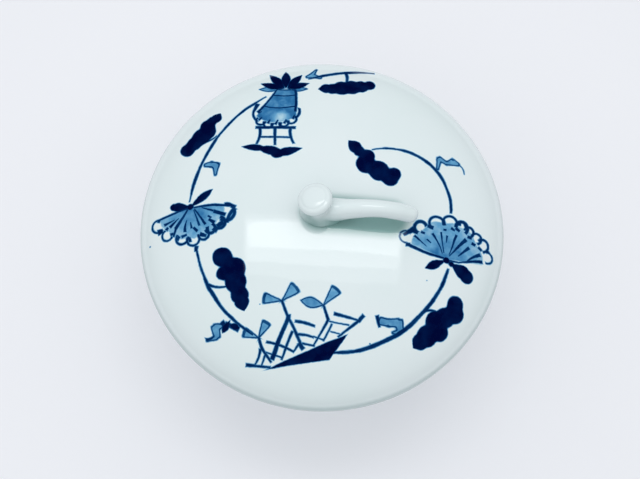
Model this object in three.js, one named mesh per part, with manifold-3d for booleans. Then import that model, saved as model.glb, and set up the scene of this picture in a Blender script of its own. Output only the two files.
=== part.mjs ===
// A porcelain rice bowl with a domed lid, in millimetres, +Z up.
// The origin is the centre of the foot's resting face, and the branch handle points along +X.
// The bowl stands on a turned foot ring. The lid rests on the bowl's rim, held in line by a
// locating ring that hangs inside it, and it carries an arched branch handle with a round knob.
import * as THREE from "three";
import Module from "manifold-3d";
import { mergeVertices } from "three/addons/utils/BufferGeometryUtils.js";

const SIDES = 60; // facets round each turned piece
const KNOB_SIDES = 24;
const GAP = 0.3; // clearance between neighbouring pieces

const FOOT = { height: 7, outer: 31, inner: 26.5, tipOuter: 30.2, tipInner: 27, edge: 0.7, flare: 1.5 };
const BOWL = { rimRadius: 73.4, rimHeight: 68, wall: 3.6, floorTop: 12.4 };
const BOWL_CURVE = { // [radius, height] that the wall's outside and inside are drawn towards
  outside: [[58, 9], [71.5, 36]],
  inside: [[67.8, 34], [54, 13]],
};
const LID = { radius: 75, band: 2, rise: 20.5, wall: 4.2, seatInner: 65.6, edge: 1 };
const RING = { outer: 69, inner: 66.2, depth: 6, edge: 0.9 };
const ROOT = { length: 9, width: 5.8, height: 6.4, centre: 0 };
const BRANCH = {
  radius: 3.5,
  // [along +X, height over the top of the dome] of the middle of the branch, out to its round tip
  route: [[-1, 4.4], [5, 4.8], [11, 6.8], [17, 8.7], [22.5, 9.2], [28.5, 7.8], [34, 5.2]],
};
const NECK = { topRadius: 4.8, bottomRadius: 6.2 };
const KNOB = { radius: 6.8, thickness: 3.8, crown: 0.9, height: 10.2, lean: 14.5, aside: 22 };

const seatHeight = BOWL.rimHeight + GAP; // underside of the lid's rim
const shoulderHeight = seatHeight + LID.band; // the lid is widest here
const apexHeight = shoulderHeight + LID.rise; // top of the dome under the handle

const wasm = await Module();
wasm.setup();

const glaze = new THREE.MeshStandardMaterial({ color: 0xe6eef0, roughness: 0.1, metalness: 0 });
const bareClay = new THREE.MeshStandardMaterial({ color: 0xe9e4da, roughness: 0.8, metalness: 0 });

// A closed profile of [radius, height] corners, listed so that its lathe faces outwards.
function turned(corners, sides = SIDES) {
  const profile = corners.map(([radius, height]) => new THREE.Vector2(radius, height));
  if (profile[0].x > 0) {
    profile.push(profile[0].clone());
  }
  return new THREE.LatheGeometry(profile, sides).rotateX(Math.PI / 2);
}

// Points on a rounded corner, from one side round to the other.
function roundedCorner(centreRadius, centreHeight, size, fromDegrees, toDegrees, steps = 3) {
  const points = [];
  for (let i = 0; i <= steps; i++) {
    const angle = THREE.MathUtils.degToRad(fromDegrees + ((toDegrees - fromDegrees) * i) / steps);
    points.push([centreRadius + size * Math.cos(angle), centreHeight + size * Math.sin(angle)]);
  }
  return points;
}

// Points on a curve that leaves its start and reaches its end in line with the two pulls.
function curvePoints(start, startPull, endPull, end, steps = 14) {
  const vector = ([x, y]) => new THREE.Vector2(x, y);
  const curve = new THREE.CubicBezierCurve(vector(start), vector(startPull), vector(endPull), vector(end));
  return curve.getPoints(steps).map((point) => [point.x, point.y]);
}

// Points on a quarter ellipse from the widest place up to the axis.
function domePoints(radius, rise, baseHeight, steps, fromShare = 0) {
  const points = [];
  for (let i = 0; i <= steps; i++) {
    const angle = (Math.PI / 2) * (fromShare + ((1 - fromShare) * i) / steps);
    points.push([i === steps ? 0 : radius * Math.cos(angle), baseHeight + rise * Math.sin(angle)]);
  }
  return points;
}

function solidFrom(geometry) {
  const bare = geometry.clone();
  bare.deleteAttribute("normal");
  bare.deleteAttribute("uv");
  const merged = mergeVertices(bare, 1e-3);
  const vertProperties = new Float32Array(merged.attributes.position.array);
  const triVerts = new Uint32Array(merged.index.array);
  return new wasm.Manifold(new wasm.Mesh({ numProp: 3, vertProperties, triVerts }));
}

function geometryFrom(solid) {
  const { vertProperties, triVerts, numProp } = solid.getMesh();
  const places = new Float32Array((vertProperties.length / numProp) * 3);
  for (let i = 0; i < places.length / 3; i++) {
    places.set(vertProperties.subarray(i * numProp, i * numProp + 3), i * 3);
  }
  const geometry = new THREE.BufferGeometry();
  geometry.setAttribute("position", new THREE.BufferAttribute(places, 3));
  geometry.setIndex(new THREE.BufferAttribute(new Uint32Array(triVerts), 1));
  geometry.computeVertexNormals();
  return geometry;
}

function piece(name, geometry, material) {
  const mesh = new THREE.Mesh(geometry, material);
  mesh.name = name;
  return mesh;
}

// The foot ring narrows to a tip with rounded edges, whose flat face the bowl stands on.
function footRing() {
  const top = FOOT.height - GAP;
  const { tipInner, tipOuter, edge } = FOOT;
  return turned([
    ...roundedCorner(tipInner + edge, edge, edge, 180, 270),
    ...roundedCorner(tipOuter - edge, edge, edge, 270, 360),
    [FOOT.outer, top],
    [FOOT.inner, top],
  ]);
}

// The bowl swells out of a flat base to a flaring wall that ends upright in a rounded rim.
function bowlBody() {
  const { rimRadius, rimHeight, wall, floorTop } = BOWL;
  const lip = wall / 2;
  const rimBase = rimHeight - lip;
  const start = [FOOT.outer + FOOT.flare, FOOT.height];
  const outside = curvePoints(start, ...BOWL_CURVE.outside, [rimRadius, rimBase]);
  const inside = curvePoints([rimRadius - wall, rimBase], ...BOWL_CURVE.inside, [0, floorTop]);
  const rim = roundedCorner(rimRadius - lip, rimBase, lip, 0, 180, 6).slice(1, -1);
  return turned([[0, FOOT.height], ...outside, ...rim, ...inside]);
}

// The lid is half an ellipsoid over a short upright band, hollow inside, with a flat seat below.
function lidDome() {
  const { radius, rise, wall, seatInner, edge } = LID;
  const outside = domePoints(radius, rise, shoulderHeight, 16);
  const insideRadius = radius - wall;
  const insideStart = Math.acos(seatInner / insideRadius) / (Math.PI / 2);
  const inside = domePoints(insideRadius, rise - wall, shoulderHeight, 12, insideStart).reverse();
  const underEdge = roundedCorner(radius - edge, seatHeight + edge, edge, 270, 360);
  return turned([...inside, [seatInner, seatHeight], ...underEdge, ...outside]);
}

// The locating ring hangs just inside the bowl's rim.
function locatingRing() {
  const bottom = BOWL.rimHeight - RING.depth;
  const { inner, outer, edge } = RING;
  return turned([
    ...roundedCorner(inner + edge, bottom + edge, edge, 180, 270),
    ...roundedCorner(outer - edge, bottom + edge, edge, 270, 360),
    [outer, BOWL.rimHeight],
    [inner, BOWL.rimHeight],
  ]);
}

// The dome grown by the gap: what the handle is trimmed to.
function domeCutter() {
  const grown = domePoints(LID.radius + GAP, LID.rise + GAP, shoulderHeight, 36);
  return solidFrom(turned([[0, seatHeight], [LID.radius + GAP, seatHeight], ...grown]));
}

// The stalk: a root and an upright neck on the dome, and a branch that leaves them sideways and
// arches clear over the dome to a free, rounded tip.
function handleStalk() {
  const { radius, route } = BRANCH;
  const section = new THREE.Shape();
  section.absarc(0, 0, radius, 0, Math.PI * 2);
  const places = route.map(([along, above]) => new THREE.Vector3(along, 0, apexHeight + above));
  const path = new THREE.CatmullRomCurve3(places);
  const branch = new THREE.ExtrudeGeometry(section, { steps: 24, curveSegments: 8, extrudePath: path });
  const tip = new THREE.SphereGeometry(radius, 16, 12).translate(...places.at(-1).toArray());
  const root = new THREE.SphereGeometry(1, 24, 14)
    .scale(ROOT.length, ROOT.width, ROOT.height)
    .translate(ROOT.centre, 0, apexHeight);
  const neckTop = KNOB.height - GAP;
  const neck = new THREE.CylinderGeometry(NECK.topRadius, NECK.bottomRadius, neckTop, KNOB_SIDES)
    .rotateX(Math.PI / 2)
    .translate(0, 0, neckTop / 2);
  lean(neck);
  return geometryFrom(
    [branch, tip, root]
      .map(solidFrom)
      .reduce((whole, part) => whole.add(part), solidFrom(neck))
      .subtract(domeCutter()),
  );
}

// Leans a piece that stands on the apex back from the branch and a little aside, and lifts it onto
// the dome.
function lean(geometry) {
  return geometry
    .rotateZ(THREE.MathUtils.degToRad(KNOB.aside))
    .rotateY(THREE.MathUtils.degToRad(-KNOB.lean))
    .rotateZ(THREE.MathUtils.degToRad(-KNOB.aside))
    .translate(0, 0, apexHeight);
}

// The knob is a round button with a rounded edge and a low crown.
function handleKnob() {
  const { radius, thickness, crown, height } = KNOB;
  const edge = thickness / 2;
  const side = roundedCorner(radius - edge, height + edge, edge, 270, 450, 6);
  const top = domePoints(radius - edge, crown, height + thickness, 3).slice(1);
  return lean(turned([[0, height], ...side, ...top], KNOB_SIDES));
}

const bowl = new THREE.Group();
bowl.add(piece("bowl_foot_ring", footRing(), glaze));
bowl.add(piece("bowl_body", bowlBody(), glaze));

const lid = new THREE.Group();
lid.add(piece("lid_dome", lidDome(), glaze));
lid.add(piece("lid_locating_ring", locatingRing(), bareClay));
lid.add(piece("handle_stalk", handleStalk(), glaze));
lid.add(piece("handle_knob", handleKnob(), glaze));

const riceBowl = new THREE.Group();
riceBowl.add(bowl, lid);

export default riceBowl;
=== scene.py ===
import math

import bpy
from mathutils import Matrix, Quaternion, Vector
from mathutils.geometry import interpolate_bezier


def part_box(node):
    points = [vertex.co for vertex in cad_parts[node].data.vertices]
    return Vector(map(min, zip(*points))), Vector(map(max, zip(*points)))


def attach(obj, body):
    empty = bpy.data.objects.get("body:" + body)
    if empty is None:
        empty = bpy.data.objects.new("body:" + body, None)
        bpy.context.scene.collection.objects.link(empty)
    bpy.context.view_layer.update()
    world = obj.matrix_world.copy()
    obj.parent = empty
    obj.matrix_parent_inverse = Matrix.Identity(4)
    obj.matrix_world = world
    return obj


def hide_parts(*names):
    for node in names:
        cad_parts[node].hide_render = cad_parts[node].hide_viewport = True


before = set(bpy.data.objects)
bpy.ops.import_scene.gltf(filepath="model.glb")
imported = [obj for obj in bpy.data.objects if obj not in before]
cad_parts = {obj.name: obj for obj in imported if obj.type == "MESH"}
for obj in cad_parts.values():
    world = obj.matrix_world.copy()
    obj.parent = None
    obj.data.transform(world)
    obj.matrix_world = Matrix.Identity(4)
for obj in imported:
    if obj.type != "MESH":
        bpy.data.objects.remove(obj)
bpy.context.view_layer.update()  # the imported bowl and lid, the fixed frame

mm = 0.001
print("frame loaded:", ", ".join(sorted(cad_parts)))


# places that the frame gives
bowlLow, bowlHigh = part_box("bowl_body")
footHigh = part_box("bowl_foot_ring")[1]
lidLow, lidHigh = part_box("lid_dome")
ringLow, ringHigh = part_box("lid_locating_ring")


# modelling, as on the bench
def deselectAll():
    bpy.ops.object.select_all(action="DESELECT")


def pickOnly(piece):
    deselectAll()
    piece.select_set(True)
    bpy.context.view_layer.objects.active = piece


def roundedBend(centre, radius, fromAngle, toAngle, steps=4):
    # points on a circular bend of a profile, angles in degrees
    points = []
    for i in range(steps + 1):
        angle = math.radians(fromAngle + (toAngle - fromAngle) * i / steps)
        points.append((centre[0] + radius * math.cos(angle), centre[1] + radius * math.sin(angle)))
    return points


def sweptLine(start, startPull, endPull, end, steps):
    # points on a freely drawn curve between two places of a profile
    pulled = [Vector((*place, 0)) for place in (start, startPull, endPull, end)]
    return [(point.x, point.y) for point in interpolate_bezier(*pulled, steps + 1)]


def domeLine(radius, rise, base, steps, fromRadius=None):
    # quarter ellipse from the wide side up to the middle
    first = 0 if fromRadius is None else math.acos(fromRadius / radius)
    angles = [first + (math.pi / 2 - first) * i / steps for i in range(steps + 1)]
    points = [(radius * math.cos(angle), base + rise * math.sin(angle)) for angle in angles]
    return points[:-1] + [(0, base + rise)]


def throwOnWheel(name, profile, sides, smoothing=1):
    # draws the profile as a chain of edges and spins it round the wheel's axis
    if profile[0][0] > 0:
        profile = profile + profile[:1]
    deselectAll()
    bpy.ops.mesh.primitive_plane_add(size=1 * mm, location=(0, 0, 0))
    piece = bpy.context.object
    piece.name = piece.data.name = name
    bpy.ops.object.mode_set(mode="EDIT")
    bpy.ops.mesh.merge(type="CENTER")
    bpy.ops.transform.translate(value=(profile[0][0], 0, profile[0][1]))
    for here, there in zip(profile, profile[1:]):
        step = (there[0] - here[0], 0, there[1] - here[1])
        bpy.ops.mesh.extrude_region_move(TRANSFORM_OT_translate={"value": step})
    bpy.ops.mesh.select_all(action="SELECT")
    bpy.ops.mesh.spin(steps=sides, angle=2 * math.pi, center=(0, 0, 0), axis=(0, 0, 1))
    bpy.ops.mesh.select_all(action="SELECT")
    bpy.ops.mesh.remove_doubles(threshold=2e-6)
    bpy.ops.mesh.normals_make_consistent(inside=False)
    bpy.ops.object.mode_set(mode="OBJECT")
    if smoothing:
        addModifier(piece, "SUBSURF", levels=smoothing, render_levels=smoothing)
    bpy.ops.object.shade_smooth()
    return piece


def addModifier(piece, kind, **settings):
    pickOnly(piece)
    bpy.ops.object.modifier_add(type=kind)
    modifier = piece.modifiers[-1]
    for key, value in settings.items():
        setattr(modifier, key, value)
    bpy.ops.object.modifier_apply(modifier=modifier.name)


def settle(piece):
    # the place, turn and size go into the mesh
    pickOnly(piece)
    bpy.ops.object.transform_apply(location=True, rotation=True, scale=True)


def handOver(piece, body, slot, finish, *nodes):
    piece.data.materials.clear()
    piece.data.materials.append(finish)
    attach(piece, body)
    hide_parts(*nodes)
    print("made", piece.name, len(piece.data.polygons), "faces")


# glaze and clay, written as sums on shader values
class Signal:
    # a shader value; sums on it add Math nodes, any other node comes from make()
    def __init__(self, tree, socket=None):
        self.tree = tree
        self.socket = socket

    def make(self, kind, settings=None, sockets=None, output=0):
        node = self.tree.nodes.new(kind)
        for key, value in (settings or {}).items():
            if key == "stops":
                setStops(node.color_ramp, value)
            else:
                setattr(node, key, value)
        for key, value in (sockets or {}).items():
            if isinstance(value, Signal):
                self.tree.links.new(value.socket, node.inputs[key])
            else:
                node.inputs[key].default_value = value
        return Signal(self.tree, node.outputs[output])

    def sum(self, operation, *others):
        return self.make("ShaderNodeMath", {"operation": operation}, dict(enumerate((self, *others))))

    def __add__(self, other):
        return self.sum("ADD", other)

    def __mul__(self, other):
        return self.sum("MULTIPLY", other)

    def __sub__(self, other):
        return self.sum("SUBTRACT", other)

    def __rsub__(self, other):
        return self.make("ShaderNodeMath", {"operation": "SUBTRACT"}, {0: other, 1: self})

    __radd__ = __add__
    __rmul__ = __mul__

    def size(self):
        return self.sum("ABSOLUTE")

    def most(self, other):
        return self.sum("MAXIMUM", other)

    def least(self, other):
        return self.sum("MINIMUM", other)

    def spread(self, low, high, toLow=0.0, toHigh=1.0):
        # a soft step: toLow at low, toHigh at high
        return self.make(
            "ShaderNodeMapRange",
            {"interpolation_type": "SMOOTHSTEP"},
            {"Value": self, "From Min": low, "From Max": high, "To Min": toLow, "To Max": toHigh},
        )

    def split(self):
        node = self.make("ShaderNodeSeparateXYZ", {}, {0: self}).socket.node
        return [Signal(self.tree, output) for output in node.outputs]

    def noise(self, scale, detail=2.0, output=0):
        return self.make(
            "ShaderNodeTexNoise", {}, {"Vector": self, "Scale": scale, "Detail": detail}, output
        )

    def mixed(self, first, second, kind="MIX"):
        # colours go through Mix, with self as its factor: first at 0, second at 1
        return self.make(
            "ShaderNodeMix",
            {"data_type": "RGBA", "blend_type": kind},
            {"Factor": self, 6: first, 7: second},
            output=2,
        )

    def times(self, other):
        # one colour seen through another
        return self.make(
            "ShaderNodeMix",
            {"data_type": "RGBA", "blend_type": "MULTIPLY"},
            {"Factor": 1.0, 6: self, 7: other},
            output=2,
        )


def setStops(ramp, stops):
    while len(ramp.elements) < len(stops):
        ramp.elements.new(0.5)
    for element, (place, colour) in zip(ramp.elements, stops):
        element.position = place
        element.color = (*colour, 1)


def newFinish(name, look):
    # an empty material with a shader whose plain settings are the look's
    finish = bpy.data.materials.new(name)
    finish.use_nodes = True
    shader = finish.node_tree.nodes["Principled BSDF"]
    for key, value in look.items():
        shader.inputs[key].default_value = value
    start = Signal(finish.node_tree)
    place = start.make("ShaderNodeTexCoord", output=3)
    return finish, shader, place


porcelain = {
    "body": (0.775, 0.855, 0.87, 1),
    "shade": (0.74, 0.84, 0.845, 1),  # where the glaze lies thicker
    "pooledAndShaded": (0.27, 0.45, 0.43, 1),  # glaze gathered at the handle's root, with painted shade under the handle
    "edge": (0.48, 0.6, 0.6, 1),  # painted shade and dark reflection along the lid's edge, laid on as a line of thicker glaze
    "edgeShadeLine": (73.2 * mm, 74.6 * mm, 0.8),  # where it starts, where it is full, how strong
    # gathered glaze and painted shade along the handle's line: from, to, near and far reach in millimetres,
    # depth
    "pooledAndShadedRoundBranch": (-1, 27, 5, 10, 1.0),
    "pooledAndShadedOnHandle": (-1, 6, 4.5, 9.5, 1.0),
    "clay": (0.86, 0.845, 0.80, 1),
    "clayDark": (0.78, 0.755, 0.70, 1),
    "glassy": {"Roughness": 0.04, "IOR": 1.52},
    "bare": {"Roughness": 0.6, "IOR": 1.45},
    "ripple": 0.12,
}

# how the light goes through the cobalt, from none to a full brush
cobaltStops = [
    (0.0, (1.0, 1.0, 1.0)),
    (0.14, (0.58, 0.78, 0.9)),
    (0.32, (0.17, 0.43, 0.7)),
    (0.48, (0.04, 0.2, 0.45)),
    (0.64, (0.004, 0.06, 0.2)),
    (0.8, (0.0008, 0.018, 0.1)),
    (1.0, (0.0004, 0.003, 0.042)),
]


def glazeColour(place):
    # a faint cloudiness, as the glaze pools and thins
    cloud = place.noise(22, 3).spread(0.35, 0.65)
    return (cloud * 0.6).mixed(porcelain["body"], porcelain["shade"])


def glazeNormal(place, shader):
    # slow ripples of the thrown wall under a very fine orange peel
    ripple = place.noise(34, 2) + place.noise(900, 1) * 0.02
    bump = place.make(
        "ShaderNodeBump", {}, {"Strength": porcelain["ripple"], "Distance": 1 * mm, "Height": ripple}
    )
    place.tree.links.new(bump.socket, shader.inputs["Normal"])


def colourWith(shader, colour):
    colour.tree.links.new(colour.socket, shader.inputs["Base Color"])


# how strong each kind of mark is, from clear glaze at 0 to a full brush at 1
cobalt = {
    "line": 0.76,
    "outline": 0.72,
    "outlineWidth": 0.5,
    "leafEnd": 0.62,
    "turned": 0.62,
    "full": 0.96,
    "leafWash": 0.34,
    "ribbonWash": 0.38,
    "blossomWash": 0.35,
    "blossomFade": 0.07,
    "bleedOut": 0.5,  # millimetres
    "bleedIn": -0.3,
    # noise scale and reach of each unsteadiness
    "tremble": [(70, 1.2), (900, 0.3)],
    "pressure": (150, 0.8),
    "streaks": (330, 0.3),
    "pooling": (190, 0.4),
}


class Brush:
    # cobalt laid on the unfired clay; the hand is (across, up, 1) in millimetres, so one dot
    # product tells how far it is past a straight line, and the darkest ink stays
    def __init__(self, hand, pressure, streaks):
        self.hand = hand
        self.pressure = pressure
        self.streaks = streaks
        self.edges = {}
        self.ink = None

    def past(self, point, angle, further=0):
        # how far the hand is past a point, towards an angle
        toward = (math.cos(angle), math.sin(angle))
        offset = toward[0] * point[0] + toward[1] * point[1] + further
        sockets = {0: self.hand, 1: (*toward, -offset)}
        return self.hand.make("ShaderNodeVectorMath", {"operation": "DOT_PRODUCT"}, sockets, output=1)

    def facing(self, point, degrees):
        # the hand as a way along and a way across, seen from a point
        angle = math.radians(degrees)
        return self.past(point, angle), self.past(point, angle + math.pi / 2)

    def along(self, start, end, bow=0):
        # the same from the middle of a line, with its half length
        middle = ((start[0] + end[0]) / 2, (start[1] + end[1]) / 2)
        angle = math.atan2(end[1] - start[1], end[0] - start[0])
        across = self.past(middle, angle + math.pi / 2, bow)
        return self.past(middle, angle), across, math.dist(start, end) / 2

    def farFrom(self, point):
        sockets = {0: self.hand, 1: (*point, 1)}
        return self.hand.make("ShaderNodeVectorMath", {"operation": "DISTANCE"}, sockets, output=1)

    def keep(self, mark):
        self.ink = mark if self.ink is None else self.ink.most(mark)

    def bled(self, distance):
        return distance.spread(cobalt["bleedOut"], cobalt["bleedIn"])

    def lay(self, distance, strength):
        # marks of one strength share an edge, which bleeds a little further out than in
        if isinstance(strength, Signal):
            self.keep(self.bled(distance) * strength)
        elif strength in self.edges:
            self.edges[strength] = self.edges[strength].least(distance)
        else:
            self.edges[strength] = distance

    def dried(self):
        for strength, edge in self.edges.items():
            self.keep(self.bled(edge) * strength)
        return self.ink

    def strokeShape(self, start, end, fromWidth, toWidth=None, bow=0, rounding=0):
        # straight or bowed, and narrowing or swelling
        along, across, half = self.along(start, end, bow)
        toWidth = fromWidth if toWidth is None else toWidth
        if bow:
            across = (along * along).sum("MULTIPLY_ADD", bow / half**2, across)
        side = across.size()
        if toWidth != fromWidth:
            side = along.sum("MULTIPLY_ADD", (fromWidth - toWidth) / (4 * half), side)
        side = side - (fromWidth + toWidth) / 4
        if rounding:
            return side.sum("SMOOTH_MAX", along.size() - half, rounding)
        return side.most(along.size() - half)

    def stroke(self, *mark):
        self.lay(self.strokeShape(*mark), cobalt["line"])

    def bend(self, centre, radius, fromAngle, toAngle, width):
        # part of a circle, thinning towards both ends
        half = math.radians(toAngle - fromAngle) / 2
        along, across = self.facing(centre, (fromAngle + toAngle) / 2)
        turn = across.sum("ARCTAN2", along).size() * (1 / half)
        off = (self.farFrom(centre) - radius).size() + turn.sum("POWER", 3) * (width * 0.25)
        self.lay((off - self.pressure - width / 2).most((turn - 1) * (half * radius)), cobalt["line"])

    def ring(self, centre, radius, width, cut):
        # only the part of a circle where cut is below zero
        line = (self.farFrom(centre) - radius).size() - width / 2
        self.lay(line.most(cut), cobalt["line"])

    def leafShape(self, start, end, width, belly=1.3):
        # a leaf pointed at both ends and widest past its middle
        along, across, half = self.along(start, end)
        share = along.sum("MULTIPLY_ADD", 0.5 / half, 0.5).sum("MAXIMUM", 0.0)
        swell = (share.sum("POWER", belly) * math.pi).sum("SINE") * (width / 2)
        return (across.size() - swell).most(along.size() - half)

    def leaf(self, start, end, width, belly=1.3):
        self.lay(self.leafShape(start, end, width, belly), cobalt["full"])

    def flowing(self, shapes, softness):
        # wet shapes that run together
        whole = shapes[0]
        for shape in shapes[1:]:
            whole = whole.sum("SMOOTH_MIN", shape, softness)
        return whole

    def blot(self, lobes):
        # a leaf filled lobe by lobe with a full brush
        rounds = [self.farFrom((across, up)) - size for across, up, size in lobes]
        self.lay(self.flowing(rounds, 1.4) - self.pressure * 0.7, cobalt["full"])

    def ribbon(self, pieces):
        # a twisted little blade, washed inside its outline
        shapes = [self.strokeShape(*piece, rounding=1.2) for piece in pieces]
        self.washed(self.flowing(shapes, 1.2), cobalt["ribbonWash"])

    def washed(self, shape, wash):
        # a pale wash inside an outline
        self.lay(shape, self.streaks + wash)
        self.lay(shape.size() - cobalt["outlineWidth"] / 2, cobalt["outline"])

    def wedge(self, joint, angle, length, spread):
        # a small leaf that widens to a rounded, darker end
        along, across = self.facing(joint, angle)
        side = along.sum("MULTIPLY_ADD", -math.tan(math.radians(spread)), across.size())
        end = self.farFrom(joint) - length
        shape = side.sum("SMOOTH_MAX", end, 1.6)
        self.washed(shape, cobalt["leafWash"])
        self.lay(shape.most(-0.9 - end), cobalt["leafEnd"])

    def blossom(self, base, wash, reach, scallops, strokes):
        # an open fan: streaked wash, scalloped rim and ribs, placed by angle and reach from its base
        def place(angle, far):
            turn = math.radians(angle)
            return base[0] + far * math.cos(turn), base[1] + far * math.sin(turn)

        out = self.farFrom(base)
        along, across = self.facing(base, sum(wash) / 2)
        turn = across.sum("ARCTAN2", along).size()
        inside = (turn - math.radians(wash[1] - wash[0]) / 2) * (0.6 * reach)
        fading = out.spread(reach, 0.2 * reach, -cobalt["blossomFade"], cobalt["blossomFade"])
        ripple = (turn * 9).sum("SINE") * 0.5
        self.lay((out - reach + ripple).most(inside), self.streaks + fading + cobalt["blossomWash"])
        for angle, far, radius, width in scallops:
            cut = (far - 0.35 * radius) - out
            self.ring(place(angle, far), radius, width, cut)
        for fromAngle, fromFar, toAngle, toFar, *widths in strokes:
            self.stroke(place(fromAngle, fromFar), place(toAngle, toFar), *widths)


def tremble(place, scale, reach):
    # a slow or quick unsteadiness of the hand
    sockets = {0: place.noise(scale, 1, output=1), 1: (0.5, 0.5, 0.5)}
    level = place.make("ShaderNodeVectorMath", {"operation": "SUBTRACT"}, sockets)
    return place.make("ShaderNodeVectorMath", {"operation": "MULTIPLY"}, {0: level, 1: (reach, reach, 0)})


def unevenly(ink, place):
    # the cobalt lies thicker in some places than in others
    scale, reach = cobalt["pooling"]
    return ink * (1 - reach / 2 + place.noise(scale, 3) * reach)


def painter(place, flat):
    # gives a way to paint one motif in a group of its own on the flat coordinates
    hand = flat
    for scale, reach in cobalt["tremble"]:
        sockets = {0: hand, 1: tremble(place, scale, reach)}
        hand = place.make("ShaderNodeVectorMath", {"operation": "ADD"}, sockets)
    pressure = (place.noise(cobalt["pressure"][0], 1) - 0.5) * cobalt["pressure"][1]
    streaks = (place.noise(cobalt["streaks"][0], 2) - 0.5) * cobalt["streaks"][1]

    def motif(name, paint, *details):
        group = bpy.data.node_groups.new(name, "ShaderNodeTree")
        for label, kind in (("hand", "Vector"), ("pressure", "Float"), ("streaks", "Float")):
            group.interface.new_socket(label, in_out="INPUT", socket_type="NodeSocket" + kind)
        group.interface.new_socket("ink", in_out="OUTPUT", socket_type="NodeSocketFloat")
        given = group.nodes.new("NodeGroupInput").outputs
        brush = Brush(*(Signal(group, given[label]) for label in ("hand", "pressure", "streaks")))
        paint(brush, *details)
        result = group.nodes.new("NodeGroupOutput")
        group.links.new(brush.dried().socket, result.inputs["ink"])
        sockets = {"hand": hand, "pressure": pressure, "streaks": streaks}
        return place.make("ShaderNodeGroup", {"node_tree": group}, sockets)

    return motif


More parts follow.
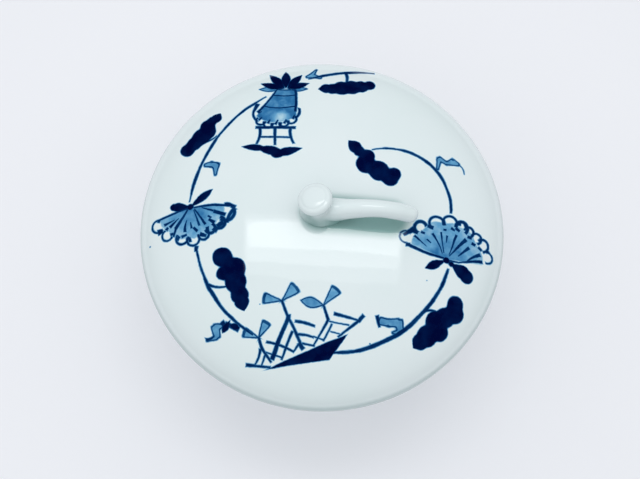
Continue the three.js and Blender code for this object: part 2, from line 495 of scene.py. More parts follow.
lidPainting = {
    "turn": 3.5,  # of the whole design on the lid, degrees
    # centre, radius, from and to angle, width: millimetres and degrees seen from above
    "vines": [
        ((23.5, -22.5), 90.5, 91, 109, 1.3),
        ((11.5, -0.5), 65, 123, 174, 1.1),
        ((1, -4), 51.5, 191, 238, 1.1),
        ((3.5, -6), 48.5, -92, -18, 1.4),
        ((27, 4.5), 24.5, -6, 106, 1.1),
        ((53.5, 20.2), 4.4, -5, 60, 0.5),
    ],
    # start, end, width at each, bow
    "stems": [
        ((9.6, 66.8), (10, 61.5), 1.4, 1.0, 0.4),
        ((-49.6, -12.4), (-49.8, -14.6), 1.6, 1.1),
        ((-43.5, 35.5), (-49, 33), 0.4, 0.8, 0.6),
        ((39, -38.6), (46, -38.6), 0.8, 0.9, 1.0),
        ((-45, -27.4), (-37, -29), 1.0, 0.6, -1.0),
        ((21.5, -40.2), (22.5, -44.6), 1.3, 0.8),
        ((-38.6, -42.4), (-36.4, -45.2), 1.9, 1.3),
        ((-45, -48.6), (-41.4, -47.4), 1.2, 0.7, -0.5),
        ((-37.2, -43), (-31.8, -45.6), 1.4, 2.2),
    ],
    # lobes of each dark leaf, and the pointed tip that it ends in
    "leaves": [
        [(4, 57.3, 2.6), (8, 57.9, 3.5), (12, 58.5, 3.6), (16, 59.2, 3.0), (19.6, 60.2, 2.3)],
        [
            (-55.4, 30.2, 3.0),
            (-52.8, 33, 3.2),
            (-50, 36, 4.0),
            (-47.4, 37.6, 3.3),
            (-47.8, 40.8, 3.0),
            (-45.8, 43.2, 2.2),
        ],
        [
            (-39, -17.5, 3.9),
            (-34, -22, 4.2),
            (-38.6, -24, 2.6),
            (-33.6, -27.4, 4.2),
            (-31.8, -32.4, 3.4),
        ],
        [
            (14.8, 27.2, 2.2),
            (18.4, 25, 2.9),
            (17.6, 21.2, 4.0),
            (22.6, 18.6, 4.3),
            (27, 15.8, 3.4),
            (29, 17.4, 2.6),
        ],
        [
            (52.6, -34.4, 3.2),
            (52.2, -37.8, 3.7),
            (48.4, -39.8, 3.7),
            (44.8, -42, 4.2),
            (45.8, -45.4, 3.6),
            (41.2, -47.2, 3.9),
            (38.2, -49.6, 2.9),
        ],
        [(54.6, -21.4, 2.0), (56.6, -22.8, 2.5), (57.6, -23.8, 2.2)],
        [(49, -17.6, 1.2), (51, -19, 1.0)],
        [(-52.6, 4, 1.3)],
        [(-58, 4.8, 1.7), (-60, 4.9, 1.2)],
    ],
    "tips": [
        ((6, 58), (-1.8, 57), 4.6),
        ((-46.4, 40.6), (-42.8, 46.8), 4.4),
        ((-32.4, -30), (-29.8, -38.6), 5.4),
        ((17, 24.8), (10.6, 31.6), 5.0),
        ((41, -47), (35.4, -52), 5.0),
    ],
    # dark sepals and small blades: start, end, width
    "blades": [
        ((-52.6, 4.2), (-61.4, 4.8), 3.4),
        ((-53, 3.6), (-44.2, 11), 2.9),
        ((49, -17.6), (40.4, -21.2), 3.2),
        ((50.4, -18.6), (59, -24), 5.2),
        ((-36, -43.4), (-31.6, -45.2), 2.4),
        ((-35.4, -42), (-38.2, -46.6), 2.4),
    ],
    # small twisted blades: start, end and width at each, piece by piece
    "ribbons": [
        [
            ((46.4, 20.6), (47.6, 26), 0.8, 1.7),
            ((47.4, 26), (50.8, 23.6), 1.8, 1.3),
            ((50.4, 23.7), (53.6, 25), 1.2, 3.0),
            ((53.2, 24.9), (56, 23.8), 3.0, 1.0),
        ],
        [
            ((-48, 22.2), (-45, 22.4), 1.2, 2.2),
            ((-45.4, 22.4), (-42.6, 21.4), 2.0, 2.2),
            ((-43, 22.2), (-43.2, 17), 2.6, 0.6),
        ],
        [
            ((-38.2, -44), (-41.4, -44.4), 1.2, 2.4),
            ((-41.2, -43.8), (-40.2, -48.4), 3.2, 2.4),
            ((-40.4, -48.4), (-44.8, -49), 1.0, 0.7),
        ],
        [
            ((22.4, -42.2), (26, -43), 2.8, 2.4),
            ((25.6, -43), (29.8, -42.6), 2.6, 3.0),
            ((29.6, -41.8), (30.6, -45.8), 3.2, 2.2),
            ((31, -45.6), (27.2, -46.6), 1.6, 0.7),
        ],
        [
            ((-7, 64.2), (-4.2, 65.4), 1.0, 2.4),
            ((-4.6, 65.6), (-2.8, 69), 1.6, 0.5),
            ((-4.4, 65), (-0.6, 63.6), 2.2, 1.0),
        ],
    ],
    # joint, angle, length and half spread
    "sprigLeaves": [
        ((-15.5, -34.7), 172, 7.2, 16),
        ((-15.5, -34.7), 42, 7.8, 17),
        ((-24, -48.7), 162, 6.4, 17),
        ((-24, -48.7), 62, 6.6, 16),
        ((0.8, -36.5), 51, 8.2, 16),
    ],
    "sideSprig": ((0.8, -36.5), (-8, -34.6), 3.6, 1.2),  # start, end, width, belly
    "sideWash": 0.4,
    "fence": [
        ((-15.5, -34.7), (-12.7, -41), 0.9),
        ((-12.6, -39.8), (-12.8, -42), 1.7, 1.5),
        ((-12.6, -41), (-19, -57), 1.4, 1.6),
        ((-12.6, -41), (-7, -53), 0.8, 1.1),
        ((-8.6, -50.8), (-6.8, -53.2), 1.2, 1.6),
        ((-11, -46.5), (-15.3, -57.2), 0.9, 0.6),
        ((-8.7, -51.5), (-10.8, -54.4), 0.7, 0.4),
        ((-24, -48.7), (-22.8, -53), 0.9, 1.2),
        ((-23, -52.6), (-19.3, -58), 1.1, 0.7),
        ((-23.5, -53), (-26, -59.3), 1.0, 0.4, 0.5),
        ((-21.6, -55.2), (-23.2, -59.5), 0.7, 0.4),
        ((-29.2, -58.8), (-25.6, -59.3), 1.2, 0.9),
        ((-26, -59.3), (-19.6, -59.8), 0.8),
        ((-21, -50.2), (-10.8, -54), 0.9, 0.7, 0.4),
        ((-21.3, -54.2), (-14.8, -56.5), 0.5),
        ((-10.2, -42.5), (-2.5, -44.5), 1.1, 0.8, 0.3),
        ((-9.6, -47.8), (-3, -48.8), 1.0, 0.6, 0.5),
        ((-3.2, -48.4), (1, -49.8), 0.4),
        ((-7.2, -51), (-2.4, -52), 0.7, 0.5),
        ((0.8, -36.5), (2.7, -42), 0.8, 1.1),
        ((2.7, -41.8), (-3, -52), 0.8, 0.5),
        ((4, -43.4), (0.8, -50.2), 0.5),
        ((3, -42.4), (10.6, -43.8), 0.35),
        ((3.4, -46.4), (6.8, -47.2), 0.35),
        ((5, -39.6), (14.6, -42), 1.1, 0.6),
        ((16.4, -40), (14.2, -42.4), 1.4, 1.2),
        ((15, -41.6), (6.2, -48.4), 1.0, 0.6),
    ],
    "ground": {"left": (-20.4, -60.4), "right": (7.8, -48.4), "slopes": (0.26, 0.62), "step": 1.2},
    "specks": [(-69.5, -10.5, 0.3), (18.7, -50.8, 0.28), (-23.8, -36, 0.2), (41, -26, 0.18)],
}

rightBlossom = {
    "base": (49, -17),
    "wash": (-3, 160),
    "reach": 15,
    # angle, reach, radius and line of each scallop of the rim
    "scallops": [
        (153, 18, 2.5, 0.5),
        (129, 15.8, 2.4, 1.2),
        (104, 14.6, 2.9, 0.9),
        (83, 14.8, 2.9, 0.9),
        (63, 14.6, 2.6, 1.3),
        (50, 15.2, 2.0, 0.9),
        (36, 15.8, 2.1, 0.8),
        (24, 17, 2.4, 0.9),
        (8, 17.4, 2.3, 0.6),
    ],
    # from angle and reach, to angle and reach, width at each, bow
    "strokes": [
        (165, 1, 162, 16.8, 0.8, 1.3, 0.5),
        (163, 17, 161, 15.4, 1.5, 1.2),
        (152, 19.2, 137, 17, 0.9, 2.3),
        (141, 17.4, 138, 15, 1.6, 1.3),
        (133, 14.4, 130, 13, 1.0, 0.8),
        (119, 14.8, 112, 13.2, 1.3, 1.6),
        (93, 16.4, 92, 13.6, 0.9, 1.4),
        (71, 16.8, 68, 15, 2.0, 1.3),
        (62, 17.2, 54, 15.6, 1.5, 1.4),
        (47, 13.4, 40, 14.4, 1.2),
        (95, 12, 89, 11.8, 0.9),
        (81, 12.9, 73, 12.3, 1.2, 0.8),
        (73, 13.6, 64, 12.9, 1.2, 1.0),
        (145, 15.4, 149, 9.2, 1.0, 0.3),
        (135, 10.9, 134, 8.8, 0.7, 0.5),
        (118, 11.4, 128, 2.5, 0.9, 0.4, 0.4),
        (100, 11, 112, 2.5, 0.7, 0.4),
        (87, 9.6, 89, 6.6, 0.9, 0.4),
        (67, 11, 58, 2, 1.1, 0.4),
        (45, 12.2, 46, 1.6, 1.7, 0.4, -0.3),
        (29, 11.2, 18, 5, 1.4, 0.4),
        (12, 14.8, 0, 8.6, 1.6, 0.5, -0.3),
        (1, 15.2, -12, 5, 1.3, 0.5, -0.3),
        (-12, 5, -30, 1, 0.6, 0.7),
        (33, 17.6, 29, 16.6, 1.3, 0.9),
        (34, 13.1, 28, 14, 1.1),
        (24, 14.9, 18, 15.8, 1.1, 0.9),
        (17, 18.8, 15, 17.6, 1.4, 1.1),
    ],
}

leftBlossom = {
    "base": (-52.6, 4),
    "wash": (-163, -1),
    "reach": 13.4,
    "scallops": [
        (-154, 15.2, 2.6, 0.7),
        (-131, 14.6, 2.2, 0.7),
        (-104, 13.2, 2.5, 0.8),
        (-84, 13.6, 2.6, 0.8),
        (-64, 13, 2.2, 0.9),
        (-48, 12.6, 2.0, 1.2),
        (-31, 14, 2.3, 1.2),
        (-12, 14.8, 3.3, 1.3),
    ],
    "strokes": [
        (-150, 1, -163, 14.6, 1.0, 0.8, -0.4),
        (-163, 14.6, -160, 13.8, 1.3, 1.0),
        (-146, 16.6, -143, 14.6, 2.4, 1.7),
        (-139, 13.4, -141, 12, 1.4, 1.0),
        (-150, 12.8, -145, 8, 1.3, 0.3),
        (-138, 11.4, -139, 6.4, 1.4, 0.3),
        (-127, 13.6, -123, 12.4, 1.3, 1.0),
        (-125, 10.4, -132, 1.4, 1.5, 0.8),
        (-120, 13.6, -126, 9.6, 0.8, 1.0),
        (-112, 14.4, -110, 12.6, 1.5, 1.2),
        (-106, 12.8, -96, 11.6, 1.3, 0.8),
        (-101, 10.6, -104, 5.6, 1.4, 0.3, 0.3),
        (-85, 9.2, -88, 6.6, 1.0, 0.4),
        (-80, 9, -73, 11, 1.0, 1.2),
        (-89, 14.6, -91, 12.6, 1.2, 0.9),
        (-64, 9.2, -45, 2, 1.0, 0.5),
        (-50, 10.2, -32, 2, 1.1, 0.6),
        (-70, 12.4, -61, 14.2, 1.7, 1.1),
        (-55, 14.6, -50, 11.4, 1.2, 1.5, 0.4),
        (-47, 14.6, -38, 14.4, 2.2, 1.8),
        (-38, 14.2, -27, 15.4, 1.8, 2.0),
        (-26, 15.2, -23, 17, 1.8, 1.2),
        (-24, 16.6, -5, 18.2, 1.2, 1.6, 0.7),
        (-4, 18.2, -2, 16.4, 1.7, 1.4),
        (-21, 1.4, 1, 9.6, 0.7, 1.1, 0.2),
        (1, 9.4, -2, 16.6, 1.1, 0.8),
        (-30, 8.4, -30, 10.2, 0.7),
        (-36, 9.6, -35, 12.4, 1.0, 1.5),
        (-15, 9.8, -16, 14.8, 1.5, 1.3),
        (-8, 4.6, -14, 9.8, 0.4, 1.0),
    ],
}

vase = {
    "middle": (-18, 46),
    "halfWidth": (7.6, -0.33),  # at the middle, and its growth with height
    "shift": (-0.6, 0.26),  # of the axis, at the middle and with height
    "neck": 11.2,
    "skirt": {"centre": (-19, 53), "radius": 12.2},
    "scallops": [(-119, 13, 2.0), (-104, 13.2, 1.9), (-90, 13.2, 1.9), (-76, 13, 1.9), (-61, 12.6, 2.0)],
    "hem": 0.8,  # width of the scallops' line
    "pale": (-17.5, 42.5),  # middle of the place that the wash leaves light
    "paleReach": 5,
    "paleDepth": 0.3,
    "wash": 0.46,
    "leafWash": 0.42,
    "strokes": [
        ((-19.4, 57.4), (-27, 46), 0.7, 1.1, 0.4),
        ((-11.6, 57), (-11.4, 45.6), 1.2, 1.1, 0.3),
        ((-19.8, 57.4), (-11.4, 57), 0.6, 0.6, -0.4),
        ((-27.4, 50.4), (-28.8, 46), 1.9, 0.8),
        ((-28.8, 46.4), (-26.6, 41.2), 0.8, 1.0, -0.7),
        ((-9.8, 47.4), (-11.4, 42.4), 1.2, 0.9, 0.9),
        ((-26.8, 45.6), (-25.2, 46.4), 0.9, 0.5),
        ((-26.2, 42), (-24.8, 43.4), 1.0, 0.5),
        ((-22.4, 40.2), (-21.6, 42.2), 1.1, 0.5),
        ((-19.4, 39.6), (-18.4, 41.8), 1.1, 0.5),
        ((-15.8, 40), (-15, 42), 1.1, 0.5),
        ((-12.4, 42.2), (-11.6, 44.2), 1.1, 0.5),
        ((-20.8, 54.4), (-11.6, 54), 0.7, 0.7, -0.4),
        ((-24.4, 49), (-11.2, 48.4), 0.7, 0.7, -0.9),
        # the stand: a top, three legs and a shelf
        ((-27.4, 38.4), (-11, 37.8), 1.2, 1.2),
        ((-25.6, 38), (-26.8, 30.4), 1.2, 0.8, 0.6),
        ((-19.4, 38), (-19.4, 29.6), 1.3, 0.9),
        ((-13, 38), (-11.6, 30.4), 1.2, 0.8, -0.6),
        ((-26, 33.6), (-12.4, 33.2), 0.7, 0.7),
    ],
    # a plant that fans out of the mouth
    "blades": [
        ((-16.4, 57.6), (-26.2, 61.4), 3.2),
        ((-16.2, 57.8), (-22.4, 66.6), 3.4),
        ((-15.6, 57.8), (-15.8, 68), 3.6),
        ((-15, 57.8), (-9, 65.4), 3.4),
        ((-14.8, 57.6), (-5.8, 60.4), 3.2),
    ],
    "sideLeaves": [((-17, 57.8), (-26.8, 58.2), 2.6), ((-14.4, 57.4), (-6.6, 57.2), 2.4)],
    "ground": [
        ((-32.8, 29.4), (-22, 28), 2.8),
        ((-27, 28.6), (-14.6, 25.6), 3.8),
        ((-20.4, 25.2), (-8.4, 28.2), 3.4),
        ((-22, 26.2), (-15, 25.4), 4.0),
    ],
}


def paintVase(brush):
    along, across = brush.facing(vase["middle"], 0)
    half, growth = vase["halfWidth"]
    shift, lean = vase["shift"]
    side = (across.sum("MULTIPLY_ADD", -lean, along) - shift).size()
    side = across.sum("MULTIPLY_ADD", -growth, side) - half
    skirt = brush.farFrom(vase["skirt"]["centre"])
    body = side.most(across - vase["neck"]).most(skirt - vase["skirt"]["radius"])
    pale = brush.farFrom(vase["pale"]).spread(vase["paleReach"], 0) * vase["paleDepth"]
    brush.lay(body, brush.streaks + vase["wash"] - pale)
    for angle, reach, radius in vase["scallops"]:
        turn = math.radians(angle)
        centre = vase["skirt"]["centre"]
        place = (centre[0] + reach * math.cos(turn), centre[1] + reach * math.sin(turn))
        brush.ring(place, radius, vase["hem"], (reach - 0.5) - skirt)
    for mark in vase["strokes"]:
        brush.stroke(*mark)
    for blade in vase["blades"]:
        brush.leaf(*blade, belly=1.0)
    for leaf in vase["sideLeaves"]:
        brush.washed(brush.leafShape(*leaf, belly=1.0), vase["leafWash"])
    for blade in vase["ground"]:
        brush.leaf(*blade, belly=1.0)


def paintVines(brush):
    for vine in lidPainting["vines"]:
        brush.bend(*vine)
    for mark in lidPainting["stems"]:
        brush.stroke(*mark)
    for blade in lidPainting["blades"]:
        brush.leaf(*blade)
    for ribbon in lidPainting["ribbons"]:
        brush.ribbon(ribbon)
    for across, up, size in lidPainting["specks"]:
        brush.lay(brush.farFrom((across, up)) - size + 0.2, cobalt["full"])


def paintLeaves(brush):
    for lobes in lidPainting["leaves"]:
        brush.blot(lobes)
    for tip in lidPainting["tips"]:
        brush.leaf(*tip)


def paintFence(brush):
    for mark in lidPainting["fence"]:
        brush.stroke(*mark)
    for wedge in lidPainting["sprigLeaves"]:
        brush.wedge(*wedge)
    brush.washed(brush.leafShape(*lidPainting["sideSprig"]), lidPainting["sideWash"])
    # the dark bank under the fence: a straight top, two straight sides below
    ground = lidPainting["ground"]
    along, across, half = brush.along(ground["left"], ground["right"])
    left, right = ground["slopes"]
    under = (-1 * across) - (along + half) * left
    cut = (-1 * across) - (half - along) * right - ground["step"]
    brush.lay(across.most(under).most(cut), cobalt["full"])


def paintBlossom(brush, details):
    brush.blossom(**details)


def paintLid(place):
    sockets = {
        "Vector": place,
        "Location": (0, 0, 1),
        "Rotation": (0, 0, math.radians(-lidPainting["turn"])),
        "Scale": (1000, 1000, 0),
    }
    motif = painter(place, place.make("ShaderNodeMapping", {}, sockets))
    ink = motif("vines", paintVines)
    for mark in (
        motif("dark_leaves", paintLeaves),
        motif("right_blossom", paintBlossom, rightBlossom),
        motif("left_blossom", paintBlossom, leftBlossom),
        motif("fence_and_sprigs", paintFence),
        motif("vase_on_stand", paintVase),
    ):
        ink = ink.most(mark)
    return unevenly(ink, place)


bowlPainting = {
    "repeats": 6,
    "radius": 73.4,  # where its widths are true
    # a running vine with a dark leaf and an open blossom in each repeat
    "vines": [((-19.2, 26), 26, 41, 139, 1.2), ((19.2, 61), 26, 221, 319, 1.2)],
    "stems": [
        ((-20, 51.6), (-18.6, 44.6), 1.2, 0.8, 0.8),
        ((19.6, 35.4), (19.2, 38.6), 1.0, 1.5),
        ((-33, 47.6), (-36, 55), 0.9, 0.6, -0.8),
        ((5, 39.6), (3, 32.4), 0.9, 0.6, 0.8),
    ],
    "leaf": [(-24.6, 40.4, 3.0), (-20.4, 41.6, 3.8), (-16, 40.4, 3.9), (-12.4, 38, 3.0), (-20, 37.6, 3.0)],
    "blades": [
        ((-13, 38.4), (-7.4, 34.6), 4.4),
        ((19, 38.8), (11, 37), 2.8),
        ((19.4, 38.8), (27, 36.4), 3.2),
    ],
    "wedges": [
        ((-36, 55), 118, 6.4, 17),
        ((-36, 55), 38, 6, 17),
        ((3, 32.4), -62, 6, 17),
        ((3, 32.4), -138, 6, 17),
    ],
    "blossom": {
        "base": (19.2, 39),
        "wash": (16, 164),
        "reach": 12,
        "scallops": [(angle, 12.6, 2.3, 0.9) for angle in range(25, 160, 21)],
        "strokes": [(angle, 11, angle, 2.5, 1.2, 0.4, 0.3) for angle in range(35, 150, 21)]
        + [(16, 1, 16, 12.4, 0.8, 1.3), (164, 1, 164, 12.4, 0.8, 1.3)],
    },
    "bands": [(9.4, 0.9), (11.2, 0.5), (63.4, 0.5)],  # height and width of the turned lines
    "insideWall": [(12, 35, 2), (24, 55.5, 0.65), (40, 66, 0.22)],  # height, radius, slope
}


def paintBand(brush):
    for vine in bowlPainting["vines"]:
        brush.bend(*vine)
    for mark in bowlPainting["stems"]:
        brush.stroke(*mark)
    for blade in bowlPainting["blades"]:
        brush.leaf(*blade)
    for wedge in bowlPainting["wedges"]:
        brush.wedge(*wedge)
    brush.blot(bowlPainting["leaf"])
    brush.blossom(**bowlPainting["blossom"])
    for height, width in bowlPainting["bands"]:
        brush.lay(brush.past((0, height), math.pi / 2).size() - width / 2, cobalt["turned"])


def paintBowl(place):
    # round the wall as one repeat after another, up the wall as height, outside only
    across, along, height = place.split()
    turn = 2 * math.pi / bowlPainting["repeats"]
    way = along.sum("ARCTAN2", across).sum("WRAP", turn / 2, -turn / 2) * bowlPainting["radius"]
    flat = place.make("ShaderNodeCombineXYZ", {}, {0: way, 1: height * 1000, 2: 1.0})
    ink = painter(place, flat)("vine_band", paintBand)
    fromAxis = (across * across + along * along).sum("SQRT")
    return unevenly(ink * outsideOnly(fromAxis, height), place)


def outsideOnly(fromAxis, height):
    # the side of the wall is told by straight lines that run inside its thickness
    middle = None
    for level, radius, slope in bowlPainting["insideWall"]:
        line = height * slope + (radius - level * slope) * mm
        middle = line if middle is None else middle.least(line)
    return (fromAxis - middle).spread(-0.2 * mm, 0.2 * mm)


def pooledGlazeAndShade(place, glaze, start, end, near, far, depth):
    # glaze gathered thick along the handle's line on the top of the dome, with painted shade where the
    # handle's shadow falls
    middle = (-(start + end) / 2, 0, -lidHigh.z * 1000)
    sockets = {"Vector": place, "Location": middle, "Scale": (1000, 1000, 1000)}
    along, across, height = place.make("ShaderNodeMapping", {}, sockets).split()
    beyond = (along.size() - (end - start) / 2).sum("MAXIMUM", 0.0)
    reach = (beyond * beyond + across * across + height * height).sum("SQRT")
    return (reach.spread(far, near) * depth).mixed(glaze, porcelain["pooledAndShaded"])


def throughCobalt(ink, glaze):
    tint = ink.make("ShaderNodeValToRGB", {"stops": cobaltStops}, {"Fac": ink})
    return glaze.times(tint)


def plainGlaze():
    finish, shader, place = newFinish("clear_glaze", porcelain["glassy"])
    colourWith(shader, glazeColour(place))
    glazeNormal(place, shader)
    return finish


def paintedGlaze():
    finish, shader, place = newFinish("painted_glaze", porcelain["glassy"])
    across, along, height = place.split()
    fromAxis = (across * across + along * along).sum("SQRT")
    # the lid's edge darkened by a line of painted shade and dark reflection
    start, full, depth = porcelain["edgeShadeLine"]
    glaze = (fromAxis.spread(start, full) * depth).mixed(glazeColour(place), porcelain["edge"])
    # gathered glaze and painted shade under and round the handle's branch
    glaze = pooledGlazeAndShade(place, glaze, *porcelain["pooledAndShadedRoundBranch"])
    colourWith(shader, throughCobalt(paintLid(place), glaze))
    glazeNormal(place, shader)
    return finish


def bareClay():
    finish, shader, place = newFinish("bare_clay", porcelain["bare"])
    grain = place.noise(1400, 4)
    colourWith(shader, grain.spread(0.45, 0.7).mixed(porcelain["clay"], porcelain["clayDark"]))
    bump = place.make("ShaderNodeBump", {}, {"Strength": 0.3, "Distance": 0.1 * mm, "Height": grain})
    place.tree.links.new(bump.socket, shader.inputs["Normal"])
    return finish


def handleGlaze():
    finish, shader, place = newFinish("handle_glaze", porcelain["glassy"])
    # the handle darkened near the dome by gathered glaze and painted shade
    colourWith(shader, pooledGlazeAndShade(place, glazeColour(place), *porcelain["pooledAndShadedOnHandle"]))
    glazeNormal(place, shader)
    return finish


def bandedGlaze():
    finish, shader, place = newFinish("banded_glaze", porcelain["glassy"])
    colourWith(shader, throughCobalt(paintBowl(place), glazeColour(place)))
    glazeNormal(place, shader)
    return finish


clearGlaze = plainGlaze()
handleFinish = handleGlaze()
bowlGlaze = bandedGlaze()
lidGlaze = paintedGlaze()
bareBody = bareClay()
print("glazes mixed:", len(lidGlaze.node_tree.nodes), "nodes in the painted one")


# the lid
lid = {
    "radius": lidHigh.x - 0.03 * mm,
    "band": 2 * mm,  # upright part of the edge
    "edge": 1.1 * mm,  # rounding under it
    "wall": 4.2 * mm,
    "inner": ringHigh.x - 2.8 * mm,
    "top": lidHigh.z - 0.02 * mm,
    "sides": 128,
}


def makeLid():
    shoulder = lidLow.z + lid["band"]
    rise = lid["top"] - shoulder
    outside = domeLine(lid["radius"], rise, shoulder, 44)
    hollow = domeLine(lid["radius"] - lid["wall"], rise - lid["wall"], shoulder, 26, lid["inner"])
    underEdge = roundedBend((lid["radius"] - lid["edge"], lidLow.z + lid["edge"]), lid["edge"], -90, 0)
    # close points keep the seat's corner crisp
    seat = [(lid["inner"], lidLow.z + 4 * mm), (lid["inner"], lidLow.z + 0.6 * mm)]
    seat += [(lid["inner"], lidLow.z), (lid["inner"] + 0.8 * mm, lidLow.z)]
    flat = [(lid["radius"] - 3 * mm, lidLow.z)]
    profile = hollow[::-1] + seat + flat + underEdge + outside
    return throwOnWheel("lid_shell", profile, lid["sides"])


lidShell = makeLid()
handOver(lidShell, "lid", "glazed_porcelain", lidGlaze, "lid_dome")


# the ring that keeps the lid on the rim
ring = {"edge": 1 * mm, "sides": 128}


def makeRing():
    bottom, top = ringLow.z, lidLow.z + 0.05 * mm
    outer, inner, edge = ringHigh.x, lid["inner"], ring["edge"]
    profile = [(inner, top), (inner, bottom + 2 * mm)]
    profile += roundedBend((inner + edge, bottom + edge), edge, 180, 270)
    profile += roundedBend((outer - edge, bottom + edge), edge, 270, 360)
    profile += [(outer, bottom + 2 * mm), (outer, top - 0.8 * mm), (outer + 0.3 * mm, top)]
    return throwOnWheel("locating_ring", profile, ring["sides"])


locatingRing = makeRing()
handOver(locatingRing, "lid", "bare_porcelain", bareBody, "lid_locating_ring")


# the bowl
bowl = {
    "rimRadius": bowlHigh.x,
    "rim": 1.8 * mm,  # rounding of the rim
    "wall": 3.6 * mm,
    "floor": 5.4 * mm,  # thickness over the foot
    # where the freely drawn sides are pulled to: low ones in place, high ones in from the rim
    "outsideLow": (58 * mm, 9 * mm),
    "outsideHigh": (1.9 * mm, 36 * mm),
    "insideLow": (54 * mm, 0.6 * mm),
    "insideHigh": (2 * mm, 34 * mm),
    "sides": 128,
}


def makeBowl():
    base, top = bowlLow.z, bowlHigh.z - bowl["rim"]
    outer, inner = bowl["rimRadius"], bowl["rimRadius"] - bowl["wall"]
    footRadius = footHigh.x + 1.5 * mm
    floor = base + bowl["floor"]
    (highIn, high), low = bowl["outsideHigh"], bowl["outsideLow"]
    outside = sweptLine((footRadius, base), low, (outer - highIn, high), (outer, top), 34)
    (highIn, high), (lowAt, lowUp) = bowl["insideHigh"], bowl["insideLow"]
    inside = sweptLine((inner, top), (inner - highIn, high), (lowAt, floor + lowUp), (0, floor), 34)
    rim = roundedBend((outer - bowl["rim"], top), bowl["rim"], 0, 180, 8)[1:-1]
    under = [(0, base), (footRadius * 0.5, base), (footRadius * 0.9, base)]
    return throwOnWheel("bowl_wall", under + outside + rim + inside, bowl["sides"])


bowlWall = makeBowl()
handOver(bowlWall, "bowl", "glazed_porcelain", bowlGlaze, "bowl_body")


# the foot ring
foot = {"edge": 0.7 * mm, "tipInner": 27 * mm, "tipOuter": 30.2 * mm, "inner": 26.5 * mm, "flare": 1.6 * mm}


def makeFoot():
    top, edge, flare = bowlLow.z, foot["edge"], foot["flare"]
    outer = footHigh.x
    profile = [(foot["inner"] - flare, top + 0.1 * mm)]
    profile += roundedBend((foot["inner"] - flare, top - flare), flare, 90, 0)
    profile += roundedBend((foot["tipInner"] + edge, edge), edge, 180, 270)
    profile += roundedBend((foot["tipOuter"] - edge, edge), edge, 270, 360)
    profile += roundedBend((outer + flare, top - flare), flare, 180, 90)
    profile += [(outer + flare, top + 0.15 * mm)]
    return throwOnWheel("foot_ring", profile, bowl["sides"])


footRing = makeFoot()
handOver(footRing, "bowl", "glazed_porcelain", clearGlaze, "bowl_foot_ring")


# the handle
handle = {
    "knobRadius": 6.85 * mm,
    "knobThickness": 3.8 * mm,
    "knobCrown": 0.88 * mm,
    "knobHeight": 10.2 * mm,
    "lean": 14.5,  # degrees back from the branch
    "aside": 22,  # turn of that lean out of the branch's plane
    # along +X, height of the middle over the dome's top, half thickness
    "branch": [
        (-1, 4.2, 4.6),
        (5, 4.8, 4.7),
        (11, 6.8, 3.9),
        (17, 8.7, 3.6),
        (22.5, 9.2, 3.4),
        (28.5, 7.8, 3.45),
        (34, 5.2, 3.4),
    ],
    "root": (9 * mm, 5.8 * mm, 6.2 * mm),
    "softening": 14,
}


def leanOver(piece):
    turn = math.radians(handle["aside"])
    axis = Vector((-math.sin(turn), -math.cos(turn), 0))
    piece.rotation_euler = Quaternion(axis, math.radians(handle["lean"])).to_euler()
    piece.location = (0, 0, lidHigh.z)
    settle(piece)


def makeKnob():
    radius, low = handle["knobRadius"], handle["knobHeight"]
    top = low + handle["knobThickness"]
    edge = handle["knobThickness"] / 2
    side = roundedBend((radius - edge, low + edge), edge, -90, 90, 10)
    crown = domeLine(radius - edge, handle["knobCrown"], top, 6)[1:]
    knob = throwOnWheel("handle_knob_button", [(0, low), (radius * 0.4, low)] + side + crown, 48)
    leanOver(knob)
    return knob


def makeBranch():
    deselectAll()
    bpy.ops.curve.primitive_bezier_curve_add()
    branch = bpy.context.object
    curve = branch.data
    curve.dimensions = "3D"
    curve.bevel_depth = 1 * mm
    curve.bevel_resolution = 8
    curve.resolution_u = 12
    curve.use_fill_caps = True
    points = curve.splines[0].bezier_points
    points.add(len(handle["branch"]) - len(points))
    for point, (along, above, half) in zip(points, handle["branch"]):
        point.co = (along * mm, 0, lidHigh.z + above * mm)
        point.handle_left_type = point.handle_right_type = "AUTO"
        point.radius = half
    bpy.ops.object.convert(target="MESH")
    return bpy.context.object


def makeBall(centre, radii):
    deselectAll()
    bpy.ops.mesh.primitive_uv_sphere_add(segments=32, ring_count=20, radius=1, location=centre)
    ball = bpy.context.object
    ball.scale = radii
    settle(ball)
    return ball


def makeStalk():
    branch = makeBranch()
    along, above, half = handle["branch"][-1]
    tip = makeBall((along * mm, 0, lidHigh.z + above * mm), [half * mm] * 3)
    root = makeBall((0, 0, lidHigh.z), handle["root"])
    neckTop = handle["knobHeight"] + 0.5 * mm
    neckLine = sweptLine((6.4 * mm, 0), (5 * mm, 4 * mm), (4.6 * mm, 8 * mm), (5.5 * mm, neckTop), 8)
    neck = throwOnWheel("neck", [(0, 0)] + neckLine + [(0, neckTop)], 40, smoothing=0)
    leanOver(neck)
    deselectAll()
    for part in (branch, tip, root, neck):
        part.select_set(True)
    bpy.context.view_layer.objects.active = neck
    bpy.ops.object.join()
    stalk = bpy.context.object
    stalk.name = stalk.data.name = "handle_branch"
    addModifier(stalk, "REMESH", mode="VOXEL", voxel_size=0.4 * mm)
    addModifier(stalk, "SMOOTH", factor=0.5, iterations=handle["softening"])
    pickOnly(stalk)
    bpy.ops.object.shade_smooth()
    return stalk


knobPiece = makeKnob()
handOver(knobPiece, "lid", "glazed_porcelain", handleFinish, "handle_knob")
stalkPiece = makeStalk()
handOver(stalkPiece, "lid", "glazed_porcelain", handleFinish, "handle_stalk")


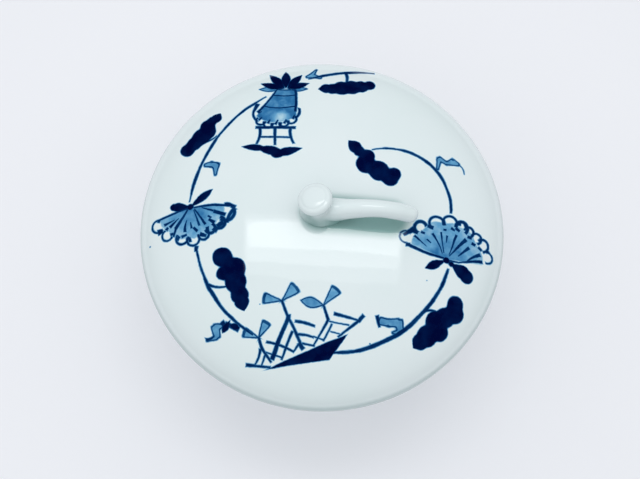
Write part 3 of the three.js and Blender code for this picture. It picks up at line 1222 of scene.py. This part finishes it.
# the table, the lamps and the camera
studio = {
    "distance": 0.4,  # camera to the middle of the lid's edge
    "elevation": 72,
    "azimuth": 3.5,
    "aim": (-0.8 * mm, -4.6 * mm, 0),
    "lens": 54.4,
    # a white table top that glows a little, as a light table does
    "table": {
        "Roughness": 0.8,
        "Specular IOR Level": 0.2,
        "Base Color": (0.6, 0.61, 0.635, 1),
        "Emission Color": (0.93, 0.95, 1, 1),
        "Emission Strength": 0.28,
    },
    "sky": (0.93, 0.96, 1.0, 1),
    "skyStrength": 0.34,
    # a strip of light with a softer edge all round: width, depth, way back, power
    "strips": [(0.56, 0.1, 0.172, 0.34), (0.58, 0.165, 0.15, 0.4), (0.6, 0.24, 0.128, 0.34)],
    "stripPlace": (0.008, 0.85),  # aside and up
    "stripTarget": (0, 0, 0.08),
    # a wide soft light that is not mirrored in the glaze
    "ceiling": {"place": (-0.15, 0.2, 1.3), "target": (-0.12, 0.22, 0), "size": 3.5, "power": 29},
}


def makeFloor():
    deselectAll()
    bpy.ops.mesh.primitive_plane_add(size=6, location=(0, 0, 0))
    floor = bpy.context.object
    floor.name = "table_top"
    finish, shader, place = newFinish("table_white", studio["table"])
    floor.data.materials.append(finish)


def addLamp(name, place, target, width, depth, power, mirrored=True):
    deselectAll()
    bpy.ops.object.light_add(type="AREA", location=place)
    lamp = bpy.context.object
    lamp.name = name
    lamp.data.shape = "RECTANGLE"
    lamp.data.size, lamp.data.size_y = width, depth
    lamp.data.energy = power
    lamp.visible_glossy = mirrored
    aim = (Vector(target) - Vector(place)).to_track_quat("-Z", "Y").to_matrix()
    turn = Matrix.Rotation(math.radians(studio["azimuth"]), 3, "Z")
    lamp.rotation_euler = (turn @ aim).to_euler()
    lamp.location = turn @ Vector(place)


def makeCamera():
    edgeMiddle = Vector((0, 0, lidLow.z + lid["band"]))
    turn, tilt = math.radians(studio["azimuth"]), math.radians(studio["elevation"])
    back = Vector((math.sin(turn) * math.cos(tilt), -math.cos(turn) * math.cos(tilt), math.sin(tilt)))
    place = edgeMiddle + back * studio["distance"]
    target = edgeMiddle + Matrix.Rotation(turn, 3, "Z") @ Vector(studio["aim"])
    bpy.ops.object.camera_add(location=place)
    camera = bpy.context.object
    camera.rotation_euler = (target - place).to_track_quat("-Z", "Y").to_euler()
    camera.data.lens = studio["lens"]
    camera.data.sensor_width = 36
    camera.data.clip_start = 0.01
    bpy.context.scene.camera = camera


def makeSky():
    world = bpy.data.worlds.new("white_tent")
    world.use_nodes = True
    light = world.node_tree.nodes["Background"]
    light.inputs["Color"].default_value = studio["sky"]
    light.inputs["Strength"].default_value = studio["skyStrength"]
    world.cycles_visibility.glossy = False  # it lights without a veil over the dark leaves
    bpy.context.scene.world = world


makeFloor()
makeSky()
for width, depth, back, power in studio["strips"]:
    aside, up = studio["stripPlace"]
    addLamp("overhead_strip", (aside, back, up), studio["stripTarget"], width, depth, power)
ceiling = studio["ceiling"]
size, power = ceiling["size"], ceiling["power"]
addLamp("ceiling_panel", ceiling["place"], ceiling["target"], size, size, power, mirrored=False)
makeCamera()
bpy.context.scene.view_settings.view_transform = "Standard"
print("studio ready")
